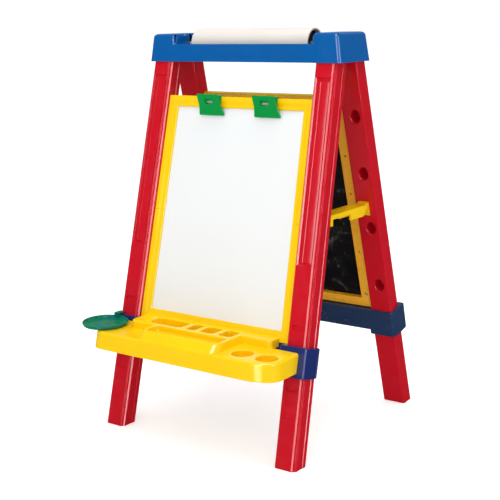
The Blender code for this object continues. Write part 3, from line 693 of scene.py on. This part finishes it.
def mitred_ring(name, section):
    """Sweeps a section (offset from the outer edge, depth) round the board with mitred corners."""
    rings = []
    for sx, top in ((-1, 0), (1, 0), (1, 1), (-1, 1)):
        ring = []
        for offset, depth in section:
            up = BOARD_HIGH - offset if top else BOARD_LOW + offset * 0.0276 / RAIL_WIDTH
            ring.append(Vector((sx * stile_x(up, offset), depth, up)))
        rings.append(ring)
    return loft(name, rings, loop=True)


def sliced(piece, name, low, high):
    """The part of a piece between two heights."""
    bm = bmesh.new()
    bm.from_mesh(piece.data)
    for height, side in ((low, -1), (high, 1)):
        made = bmesh.ops.bisect_plane(bm, geom=bm.verts[:] + bm.edges[:] + bm.faces[:], dist=1e-6,
                                      plane_co=(0, 0, height), plane_no=(0, 0, side), clear_outer=True)
        edges = [g for g in made["geom_cut"] if isinstance(g, bmesh.types.BMEdge)]
        if edges:
            filled = bmesh.ops.holes_fill(bm, edges=edges, sides=0)
            rim = {e for f in filled["faces"] for e in f.edges}
            bmesh.ops.bevel(bm, geom=list(rim), offset=0.0003, segments=2, profile=0.5, affect="EDGES")
    return new_piece(name, bm)


def board(name, matrix, body):
    """The bevelled frame in two halves in front of a panel, and the ring that holds it behind."""
    face, back = BOARD_FACE, BOARD_BACK
    section = fillet([
        (0.0, face, 0.0012), (0.0112, face, 0.0012), (0.0190, face + 0.0028, 0.0012),
        (0.0275, face + 0.0036, 0.0012), (RAIL_WIDTH, face + 0.0056, 0.0008),
        (RAIL_WIDTH, face + 0.0076, 0.0003), (0.0202, face + 0.0076, 0.0),
        (0.0202, back, 0.0), (0.0, back, 0.0006)], 3)
    ring = mitred_ring("ring", section)
    for word, low, high in (("upper", BOARD_SEAM + GAP / 2, 2.0),
                            ("lower", -1.0, BOARD_SEAM - GAP / 2)):
        half = sliced(ring, f"{name}_bevelled_frame_{word}", low, high)
        fit(half, matrix, body, "frame_yellow", f"{name}_frame_{word}", angle=35)
    bpy.data.objects.remove(ring, do_unlink=True)
    low, high = back + GAP, RING_BACK
    inner = RAIL_WIDTH
    section = fillet([(0.0022, low, 0.0), (inner, low, 0.0006), (inner, high, 0.0012),
                      (inner - 0.0030, high, 0.0), (inner - 0.0036, high - 0.0009, 0.0004),
                      (inner - 0.0046, high - 0.0009, 0.0004), (inner - 0.0052, high, 0.0),
                      (0.0022, high, 0.0010)], 3)
    back_ring = mitred_ring(f"{name}_rear_ring", section)
    holes = []
    for side in (1, -1):
        for up in (0.875, 0.7555, 0.648, 0.477, 0.350):
            x = side * (stile_x(up, 0.0) - 0.0145)
            holes.append(rod("hole", 0.0034, (x, high - 0.010, up), (x, 0.06, up), 18))
    for x in (-0.12, 0.0, 0.12):
        holes.append(rod("hole", 0.0016, (x, high - 0.006, 0.320), (x, 0.06, 0.320), 16))
        holes.append(rod("hole", 0.0016, (x, high - 0.006, 0.901), (x, 0.06, 0.901), 16))
    cut(back_ring, *holes)
    # the back ring's look is painted shade: the yellow made darker and more orange
    fit(back_ring, matrix, body, "frame_yellow", f"{name}_back_ring", angle=35, look="ring_painted_shade")


board("whiteboard", FRONT, "root")
board("chalkboard", REAR, "rear_frame")


# ---------------------------------------------------------------- paint tray
def tray_trim(piece):
    """Cuts the tray's back to lie against the collars and the board."""
    tools = []
    for side in (1, -1):
        xs = sorted((side * 0.2142, side * 0.4))
        tools.append(block("behind", (xs[0], -COLLAR_FRONT - GAP, -0.1), (xs[1], 0.3, 0.6)))
    tools.append(block("behind", (-0.5, BOARD_FACE - GAP, -0.1), (0.5, 0.3, 0.6)))
    for tool in tools:
        tool.data.transform(EASEL.inverted() @ FRONT)
    return cut(piece, *tools)


def crowned(name, points_at, low, high, crown, steps=6):
    """An upright prism whose top edge is rounded; points_at(inset) gives its outline."""
    rings = [[(x, y, z) for x, y in points_at(0.0)] for z in (low, high - crown)]
    for step in range(1, steps + 1):
        angle = math.radians(90 * step / steps)
        inset = crown * (1 - math.cos(angle))
        rings.append([(x, y, high - crown + crown * math.sin(angle)) for x, y in points_at(inset)])
    return loft(name, rings)


def tray_outline(x0, x1, y0, y1, corner, bow, steps=12):
    """A rounded rectangle whose front right corner is a longer, flatter curve, bow wide."""
    curve = arc(0, 0, 1.0, 270, 360, steps)
    rear = 0.012
    return (arc(x1 - rear, y1 - rear, rear, 0, 90, 4)
            + arc(x0 + rear, y1 - rear, rear, 90, 180, 4)
            + arc(x0 + corner, y0 + corner, corner, 180, 270, steps)
            + [(x1 - bow + bow * x, y0 + corner + corner * y) for x, y in curve])


def well(points_at, floor, rim, lip, base=0.003, steps=5):
    """A cutter for a hollow: rounded at its floor and flared at its rim."""
    rings = []
    for step in range(steps + 1):
        angle = math.radians(90 * step / steps)
        rings.append([(x, y, floor + base * (1 - math.cos(angle)))
                      for x, y in points_at(-base * (1 - math.sin(angle)))])
    for step in range(steps + 1):
        angle = math.radians(90 * step / steps)
        rings.append([(x, y, rim - lip + lip * math.sin(angle))
                      for x, y in points_at(lip * (1 - math.cos(angle)))])
    rings.append([(x, y, rim + 0.02) for x, y in points_at(lip)])
    return loft("well", rings)


def paint_tray():
    """A hollow tray with a raised block for the wells, a shoulder on each side of it and two cups."""
    front, back, low, rim, high = -0.378, -0.200, 0.240, 0.288, 0.308
    half, corner, bow = 0.292, 0.045, 0.080
    crown = 0.007
    rings = []
    for step in range(8):
        angle = math.radians(90 * max(step - 1, 0) / 6)
        inset = crown * (1 - math.cos(angle))
        z = low if step == 0 else rim - crown + crown * math.sin(angle)
        left = -0.2965 + 0.0115 * (z - low) / (rim - low)  # the left end leans in
        outline = tray_outline(left + inset, half - inset, front + inset, back, corner - inset,
                               bow - inset)
        rings.append([(x, y, z) for x, y in outline])
    tray = loft("moulded_paint_tray", rings)
    block_left, block_right, block_front, slope = -0.130, 0.122, -0.357, 0.0206
    # height and share of the front's slope
    rings = []
    for z, out in ((0.270, 1.0), (0.2835, 1.0), (0.2862, 0.96), (0.2890, 0.86), (0.3025, 0.22),
                   (0.3050, 0.10), (0.3068, -0.02), (0.3077, -0.14), (0.3080, -0.26)):
        ease = 0.004 * out
        rings.append([(x, y, z) for x, y in rounded_rectangle(
            block_left - ease, block_right + ease, block_front - slope * out, back, 0.024 + ease, 10)])
    raised = [loft("raised", rings)]
    for x0, x1, y0, radius in ((-0.215, block_left + 0.03, -0.300, 0.018),
                               (block_right - 0.03, 0.2135, -0.262, 0.012)):
        raised.append(crowned(
            "raised", lambda i, a=x0, b=x1, c=y0, r=radius: rounded_rectangle(
                a + i, b - i, c + i, back, r - i, 7), rim - 0.02, high, 0.005))
    join(tray, *raised)
    inset = tray_outline(-0.285 + WALL, half - WALL, front + WALL, back + 0.02, corner - WALL,
                         bow - WALL)
    upper = rounded_rectangle(block_left + WALL, block_right - WALL, block_front + WALL, back + 0.02,
                              0.021, 6)
    cut(tray, prism("hollow", inset, low - 0.01, rim - WALL),
        prism("hollow", upper, low - 0.01, high - WALL))
    shells, wells = [], []
    # the brush groove and the four wells: X, X, Y, Y and floor
    boxes = ((-0.118, 0.110, -0.350, -0.303, 0.293), (-0.160, -0.052, -0.288, -0.241, 0.269),
             (-0.036, -0.006, -0.288, -0.241, 0.269), (0.008, 0.052, -0.288, -0.241, 0.269),
             (0.068, 0.108, -0.288, -0.241, 0.269))
    for x0, x1, y0, y1, floor in boxes:
        around = rounded_rectangle(x0 - WALL, x1 + WALL, y0 - WALL, y1 + WALL, 0.012, 6)
        shells.append(prism("shell", around, floor - WALL, high - 0.0015))
        wells.append(well(lambda o, a=x0, b=x1, c=y0, d=y1: rounded_rectangle(
            a - o, b + o, c - o, d + o, 0.010 + o, 7), floor, high, 0.0024))
    for x, y in ((0.1748, -0.3274), (0.2475, -0.3280)):
        shells.append(rod("shell", 0.031, (x, y, 0.254), (x, y, rim - 0.0015), 48))
        wells.append(well(lambda o, cx=x, cy=y: arc(cx, cy, 0.0275 + o, 0, 352.5, 47), 0.257, rim,
                          0.0024))
    join(tray, *shells)
    cut(tray, *wells)
    tray_trim(tray)
    fit(tray, EASEL, "root", "frame_yellow", "paint_tray", angle=32)


paint_tray()


# ---------------------------------------------------------------- palette dish
def palette_dish():
    """A shallow round dish, hung by a peg in the left collar."""
    cx, cy, low, rim = -0.286, -0.3186, 0.2886, 0.2986
    tall = rim - low
    r = 0.062
    profile = [(0.0, 0.0022), (0.018, 0.0021), (0.050, 0.0022), (0.0555, 0.0034), (0.0582, 0.0062),
               (0.0592, tall - 0.0012), (0.0598, tall - 0.0003), (0.0607, tall),
               (r - 0.0006, tall - 0.0003), (r, tall - 0.0010), (r, tall - 0.0034),
               (0.0610, tall - 0.0044), (0.0600, 0.0030), (0.0585, 0.0008), (0.0560, 0.0),
               (0.020, 0.0), (0.0, 0.0)]
    dish = lathe("moulded_palette_dish", profile, (cx, cy, low), "Z", 96)
    edge, half = cy + r, 0.008
    left, right = PEG_X - half, PEG_X + half
    arm = block("arm", (left, edge - 0.007, rim - 0.004), (right, edge + 0.0005, 0.3062))
    shape = arc(PEG_X, PEG_Y, half, 0, 180, 12) + [(left, edge - 0.005), (right, edge - 0.005)]
    tongue = prism("tongue", shape, 0.3032, 0.3062)
    peg = rod("peg", 0.0032, (PEG_X, PEG_Y, 0.292), (PEG_X, PEG_Y, 0.304), 24)
    join(dish, arm, tongue, peg)
    soften(dish, 0.0007, 2, 50)
    fit(dish, EASEL, "dish", "palette_green", "palette_dish")


palette_dish()


# ---------------------------------------------------------------- clips
def clip(word, x):
    """A hook over the board's top rail, and a curved lever with a window, pinned to its ears."""
    depth = 0.004
    pivot = FRONT @ Matrix.Translation((x, depth, CLIP_UP))
    sheet = 0.0026
    back = RING_BACK - depth + GAP
    face = BOARD_FACE - depth - GAP
    high = BOARD_HIGH - CLIP_UP + GAP
    hook = [(face - sheet, -0.011, 0.0008), (face, -0.011, 0.0008), (face, high, 0.0),
            (back, high, 0.0), (back, high - 0.016, 0.0008),
            (back + sheet, high - 0.016, 0.0008), (back + sheet, high + sheet, 0.0025),
            (face - sheet, high + sheet, 0.0025)]
    base = prism(f"moulded_clip_base_{word}", fillet(hook, 4), -0.028, 0.028, "X")
    ears = []
    for side in (1, -1):
        xs = sorted((side * 0.0140, side * 0.0165))
        ears.append(block("ear", (xs[0], -0.0035, -0.0045), (xs[1], face - 0.001, 0.0045)))
    join(base, *ears)
    cut(base, rod("pin_hole", 0.0019, (-0.05, 0, 0), (0.05, 0, 0), 20))
    soften(base, 0.0005, 2, 50)
    fit(base, pivot, "root", "clip_green", f"clip_base_{word}")

    tilt = Matrix.Translation((0, -0.0085, 0)) @ Matrix.Rotation(math.radians(34), 4, "X")
    low, top = -0.0385, 0.0215
    columns = [-1, -0.94, -0.86, -0.62, -0.36, -0.18, 0, 0.18, 0.36, 0.62, 0.86, 0.94, 1]
    count = 24
    rows = [low + (top - low) * i / count for i in range(count + 1)]

    def spot(u, v):
        """A point on the lever's sheet: u across it from -1 to 1, v up it."""
        t = (v - low) / (top - low)
        waist = 0.0345 + 0.0012 * (1 - t) + 0.0065 * max(0.0, 1 - t / 0.55) ** 1.6
        rounding = 0.0030 * max(0.0, 1 - t / 0.06) ** 2 + 0.0022 * max(0.0, (t - 0.95) / 0.05) ** 2
        crown = -0.0007 * (1 - u * u)
        lip = -0.0016 * max(0.0, 1 - t / 0.10) ** 2
        return Vector((u * (waist - rounding), crown + lip, v))

    bm = bmesh.new()
    grid = [[bm.verts.new(spot(u, v)) for u in columns] for v in rows]
    for i in range(count):
        for j in range(len(columns) - 1):
            middle_v = (rows[i] + rows[i + 1]) / 2
            middle_u = (columns[j] + columns[j + 1]) / 2
            if -0.006 < middle_v < 0.009 and abs(middle_u) < 0.40:  # the window
                continue
            bm.faces.new((grid[i][j], grid[i][j + 1], grid[i + 1][j + 1], grid[i + 1][j]))
    lever = new_piece(f"moulded_clip_lever_{word}", bm)
    thick = lever.modifiers.new("thick", "SOLIDIFY")
    thick.thickness = sheet
    thick.offset = 0.0
    settle(lever)
    soften(lever, 0.0007, 3, 60)
    lever.data.transform(tilt)
    lugs = []
    for side in (1, -1):
        xs = sorted((side * 0.0172, side * 0.0200))
        lugs.append(block("lug", (xs[0], -0.009, -0.0035), (xs[1], 0.0035, 0.0035)))
    join(lever, *lugs)
    cut(lever, rod("pin_hole", 0.0019, (-0.05, 0, 0), (0.05, 0, 0), 20))
    fit(lever, pivot, f"lever_{word}", "clip_green", f"clip_lever_{word}", angle=35)


for word, x in CLIP_X.items():
    clip(word, x)


# ---------------------------------------------------------------- side struts
def brace_bar(word, side):
    """A strut with a row of holes, a hook at its free end and a cheek on each side of its pin."""
    pivot = EASEL @ Matrix.Translation((0, STRUT_Y, STRUT_Z))
    x0, x1 = sorted((side * 0.242, side * 0.284))
    top, tip, thick = 0.004, -0.1781, 0.0115
    web = prism(f"moulded_brace_bar_{word}",
                fillet([(tip, top - 0.028, 0.003), (tip + 0.012, top - 0.028, 0.003),
                        (tip + 0.012, top - thick, 0.004), (-0.007, top - thick, 0.002),
                        (-0.007, top, 0.001), (tip, top, 0.005)], 5), x0, x1, "X")
    cheeks = []
    side_shape = [(-0.076, top - thick + 0.0005, 0.0), (-0.076, top - 0.028, 0.0015),
                  (-0.008, top - 0.028, 0.008),
                  (0.0045, -0.0035, 0.006), (0.0045, top, 0.0040),
                  (-0.076, top, 0.0)]
    for x in (x0, x1 - 0.006):
        cheeks.append(prism("cheek", fillet(side_shape, 5), x, x + 0.006, "X"))
    join(web, *cheeks)
    tools = []
    for number in range(9):
        x, y = side * 0.270, tip + 0.022 + number * 0.0165
        tools.append(rod("hole", 0.0042, (x, y, -0.05), (x, y, 0.05), 16))
    tools.append(rod("pin_hole", 0.0023, (x0 - 0.01, 0, 0), (x1 + 0.01, 0, 0), 20))
    cut(web, *tools)
    soften(web, 0.0012, 3, 50)
    fit(web, pivot, f"strut_{word}", "frame_yellow", f"brace_bar_{word}")


brace_bar("right", 1)
brace_bar("left", -1)

# ---------------------------------------------------------------- finish on the CAD pieces that stay
slots = {entry["node"]: entry["material_slot"] for entry in frame["record"]["subparts"]}
for node, piece in frame["nodes"].items():
    if not piece.hide_render:
        for slot in piece.material_slots:
            slot.material = MATERIALS[slots[node]]


# ---------------------------------------------------------------- floor, light and camera
def by_ray(tree, seen, reflected, lighting):
    """A strength for what is seen directly, what shows in gloss and what lights the object; each
    is a number or a socket."""
    rays = tree.nodes.new("ShaderNodeLightPath")
    value = lighting
    for output, strength in (("Is Glossy Ray", reflected), ("Is Camera Ray", seen)):
        mix = tree.nodes.new("ShaderNodeMix")
        for socket, source in (("A", value), ("B", strength)):
            if isinstance(source, float):
                mix.inputs[socket].default_value = source
            else:
                tree.links.new(source, mix.inputs[socket])
        tree.links.new(rays.outputs[output], mix.inputs["Factor"])
        value = mix.outputs["Result"]
    return value


def toward(azimuth, elevation):
    """A direction from the easel, azimuth from the front towards +X."""
    a, e = math.radians(azimuth), math.radians(elevation)
    return Vector((math.sin(a) * math.cos(e), -math.cos(a) * math.cos(e), math.sin(e)))


def studio():
    """A white floor and background. Even light and soft fills light the object; what shows in
    gloss is a dark room, paler behind the easel, with two upright strips and a square lamp."""
    scene = bpy.context.scene
    scene.view_settings.view_transform = "Standard"
    scene.view_settings.look = "None"
    world = bpy.data.worlds.new("studio")
    scene.world = world
    world.use_nodes = True
    tree = world.node_tree
    background = tree.nodes["Background"]
    background.inputs["Color"].default_value = (1.0, 1.0, 1.0, 1.0)
    place = tree.nodes.new("ShaderNodeTexCoord")
    facing = tree.nodes.new("ShaderNodeVectorMath")
    facing.operation = "DOT_PRODUCT"
    facing.inputs[1].default_value = toward(216, 16)
    tree.links.new(place.outputs["Generated"], facing.inputs[0])
    backdrop = tree.nodes.new("ShaderNodeMapRange")
    for socket, number in (("From Min", 0.35), ("From Max", 0.85), ("To Min", 0.03), ("To Max", 0.28)):
        backdrop.inputs[socket].default_value = number
    tree.links.new(facing.outputs["Value"], backdrop.inputs["Value"])
    tree.links.new(by_ray(tree, 1.0, backdrop.outputs["Result"], 0.83), background.inputs["Strength"])

    bpy.ops.mesh.primitive_plane_add(size=60.0, location=(0, 0, -0.0003))
    floor = bpy.context.object
    floor.name = "floor"
    material, tree, shader = make_material("pale_floor", (0.90, 0.90, 0.90), 0.9, specular=0.1)
    tone = object_noise(tree, 0.8, 2.0)
    stops = [(0.3, (0.89, 0.89, 0.89)), (0.7, (0.91, 0.91, 0.91))]
    tree.links.new(ramp(tree, tone.outputs["Fac"], stops), shader.inputs["Base Color"])
    shader.inputs["Emission Color"].default_value = (1.0, 1.0, 1.0, 1.0)
    tree.links.new(by_ray(tree, 0.42, 0.0, 0.0), shader.inputs["Emission Strength"])
    floor.data.materials.append(material)
    floor.visible_glossy = False

    middle = Vector((0.0, 0.0, 0.6))
    # name, azimuth, width, low and high ends, power
    strips = (("front_strip", 6, 0.75, -0.60, 2.4, 62.0), ("side_strip", 58, 0.42, -0.1, 2.4, 45.0))
    for name, azimuth, wide, low, high, power in strips:
        target = Vector((0.0, 0.0, (low + high) / 2))
        lamp = area_lamp(name, target + toward(azimuth, 0) * 2.6, target, wide, high - low, power)
        lamp.visible_diffuse = False
    sparkle = area_lamp("sparkle", middle + toward(20, 58) * 2.6, middle, 0.8, 0.8, 42.0)
    sparkle.visible_diffuse = False
    # name, azimuth, elevation, distance, size, power
    fills = (("overhead", 40, 78, 2.8, 2.4, 38.0), ("front_fill", 22, 16, 3.2, 2.2, 18.0),
             ("rear_fill", 190, 30, 3.4, 1.8, 14.0))
    for name, azimuth, elevation, distance, size, power in fills:
        spot = middle + toward(azimuth, elevation) * distance
        lamp = area_lamp(name, spot, middle, size, size, power)
        lamp.visible_glossy = False


def area_lamp(name, spot, target, wide, tall, power):
    """A rectangular lamp aimed at a target."""
    light = bpy.data.lights.new(name, "AREA")
    light.shape = "RECTANGLE"
    light.size, light.size_y, light.energy = wide, tall, power
    lamp = bpy.data.objects.new(name, light)
    bpy.context.scene.collection.objects.link(lamp)
    lamp.location = spot
    lamp.rotation_euler = (target - spot).to_track_quat("-Z", "Y").to_euler()
    lamp.visible_camera = False
    return lamp


def camera():
    """In front and to the right of the easel, looking a little down."""
    azimuth, pitch, roll = math.radians(35.685), math.radians(12.374), math.radians(-1.1666)
    forward = Vector((-math.sin(azimuth) * math.cos(pitch), math.cos(azimuth) * math.cos(pitch),
                      -math.sin(pitch)))
    right = Vector((math.cos(azimuth), math.sin(azimuth), 0.0))
    up = right.cross(forward)
    turned_right = math.cos(roll) * right + math.sin(roll) * up
    turned_up = -math.sin(roll) * right + math.cos(roll) * up
    data = bpy.data.cameras.new("camera")
    data.lens = 76.97
    data.sensor_width = 36.0
    data.clip_end = 100.0
    eye = bpy.data.objects.new("camera", data)
    bpy.context.scene.collection.objects.link(eye)
    turn = Matrix((turned_right, turned_up, -forward)).transposed()
    eye.matrix_world = Matrix.Translation((1.6656, -2.3042, 1.0923)) @ turn.to_4x4()
    bpy.context.scene.camera = eye


studio()
camera()
